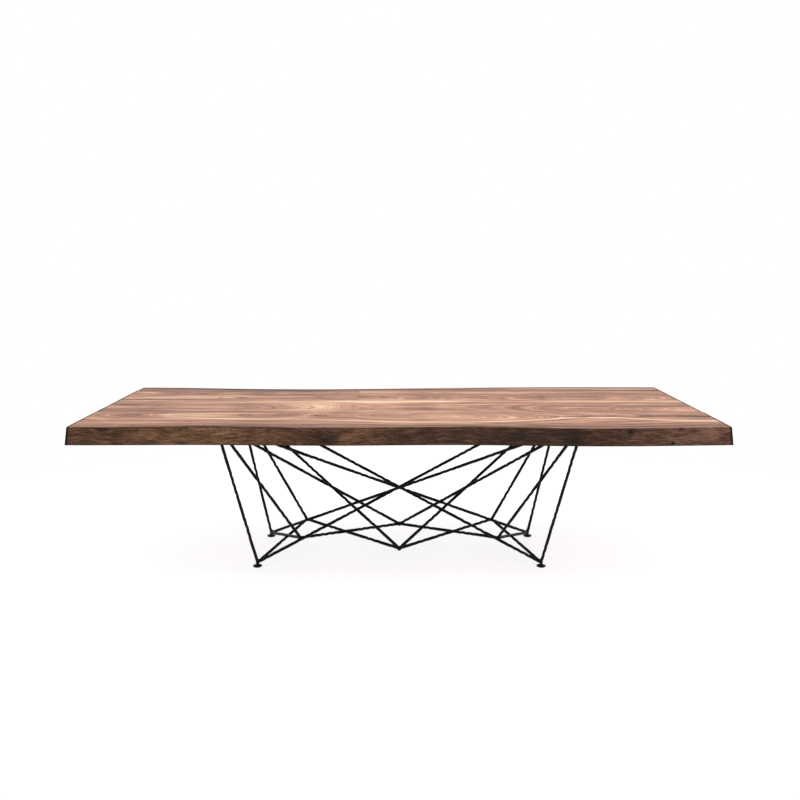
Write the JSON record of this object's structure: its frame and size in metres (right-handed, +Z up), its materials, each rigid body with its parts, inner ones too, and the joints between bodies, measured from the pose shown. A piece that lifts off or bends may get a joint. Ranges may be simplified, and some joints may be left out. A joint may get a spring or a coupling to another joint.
{
  "type": "dining table",
  "caption": "Long rectangular dining table: thick live-edge walnut plank top on a lattice base of welded round iron rods with screw-adjustable levelling feet.",
  "frame": {"origin": "on the floor under the middle of the top", "axes": "+X along the length to the right, +Y to the rear, +Z up"},
  "size_m": [3, 1.1963, 0.75],
  "materials": {
    "walnut_plank": "satin oiled walnut, long grain with pale sapwood streaks",
    "walnut_live_edge": "satin oiled walnut edge board with a darker natural edge",
    "walnut_end_block": "satin oiled walnut, end grain",
    "batten_wood": "planed and oiled",
    "joinery_wood": "plain beech, hidden inside the top",
    "forged_iron": "hammered round bar, black powder coat",
    "black_plate": "flat bar, black powder coat",
    "black_foot": "turned pad, black powder coat",
    "zinc_steel": "zinc plated",
    "glide_plastic": "matt polyamide"
  },
  "bodies": {
    "table": {"front_plank": "walnut_plank", "middle_plank": "walnut_plank", "rear_left_plank": "walnut_plank", "rear_right_plank": "walnut_plank", "front_edge_board": "walnut_live_edge", "rear_edge_board": "walnut_live_edge", "left_end_block": "walnut_end_block", "right_end_block": "walnut_end_block", "left_cross_batten": "batten_wood", "middle_cross_batten": "batten_wood", "right_cross_batten": "batten_wood", "joint_splines": "joinery_wood", "butt_dowels": "joinery_wood", "plate_screws": "zinc_steel", "batten_screws": "zinc_steel", "mount_plate_front_left": "black_plate", "leg_front_left": "forged_iron", "diagonal_front_left": "forged_iron", "strut_front_left": "forged_iron", "brace_front_left": "forged_iron", "tie_front_left": "forged_iron", "low_rod_front_left": "forged_iron", "foot_boss_front_left": "forged_iron", "mount_plate_front_right": "black_plate", "leg_front_right": "forged_iron", "diagonal_front_right": "forged_iron", "strut_front_right": "forged_iron", "brace_front_right": "forged_iron", "tie_front_right": "forged_iron", "low_rod_front_right": "forged_iron", "foot_boss_front_right": "forged_iron", "mount_plate_rear_left": "black_plate", "leg_rear_left": "forged_iron", "diagonal_rear_left": "forged_iron", "strut_rear_left": "forged_iron", "brace_rear_left": "forged_iron", "tie_rear_left": "forged_iron", "low_rod_rear_left": "forged_iron", "foot_boss_rear_left": "forged_iron", "mount_plate_rear_right": "black_plate", "leg_rear_right": "forged_iron", "diagonal_rear_right": "forged_iron", "strut_rear_right": "forged_iron", "brace_rear_right": "forged_iron", "tie_rear_right": "forged_iron", "low_rod_rear_right": "forged_iron", "foot_boss_rear_right": "forged_iron"},
    "pad_front_left": {"foot_pad_front_left": "black_foot", "foot_glide_front_left": "glide_plastic"},
    "stem_front_left": {"foot_stem_front_left": "zinc_steel"},
    "pad_front_right": {"foot_pad_front_right": "black_foot", "foot_glide_front_right": "glide_plastic"},
    "stem_front_right": {"foot_stem_front_right": "zinc_steel"},
    "pad_rear_left": {"foot_pad_rear_left": "black_foot", "foot_glide_rear_left": "glide_plastic"},
    "stem_rear_left": {"foot_stem_rear_left": "zinc_steel"},
    "pad_rear_right": {"foot_pad_rear_right": "black_foot", "foot_glide_rear_right": "glide_plastic"},
    "stem_rear_right": {"foot_stem_rear_right": "zinc_steel"}
  },
  "joints": [
    {"name": "foot_height_front_left", "type": "slide", "parent": "table", "child": "pad_front_left", "axis": [0, 0, 1], "range_m": [-0.0075, 0.0025]},
    {"name": "foot_screw_front_left", "type": "hinge", "parent": "pad_front_left", "child": "stem_front_left", "pos_m": [-0.6933, -0.224, 0.02], "axis": [0, 0, 1], "range_deg": [-2160, 720]},
    {"name": "foot_height_front_right", "type": "slide", "parent": "table", "child": "pad_front_right", "axis": [0, 0, 1], "range_m": [-0.0075, 0.0025]},
    {"name": "foot_screw_front_right", "type": "hinge", "parent": "pad_front_right", "child": "stem_front_right", "pos_m": [0.6933, -0.224, 0.02], "axis": [0, 0, 1], "range_deg": [-2160, 720]},
    {"name": "foot_height_rear_left", "type": "slide", "parent": "table", "child": "pad_rear_left", "axis": [0, 0, 1], "range_m": [-0.0075, 0.0025]},
    {"name": "foot_screw_rear_left", "type": "hinge", "parent": "pad_rear_left", "child": "stem_rear_left", "pos_m": [-0.6933, 0.224, 0.02], "axis": [0, 0, 1], "range_deg": [-2160, 720]},
    {"name": "foot_height_rear_right", "type": "slide", "parent": "table", "child": "pad_rear_right", "axis": [0, 0, 1], "range_m": [-0.0075, 0.0025]},
    {"name": "foot_screw_rear_right", "type": "hinge", "parent": "pad_rear_right", "child": "stem_rear_right", "pos_m": [0.6933, 0.224, 0.02], "axis": [0, 0, 1], "range_deg": [-2160, 720]}
  ],
  "couplings": [
    {"joint": "foot_screw_front_left", "follows": "foot_height_front_left", "rad_per_m": 5026.5},
    {"joint": "foot_screw_front_right", "follows": "foot_height_front_right", "rad_per_m": 5026.5},
    {"joint": "foot_screw_rear_left", "follows": "foot_height_rear_left", "rad_per_m": 5026.5},
    {"joint": "foot_screw_rear_right", "follows": "foot_height_rear_right", "rad_per_m": 5026.5}
  ]
}
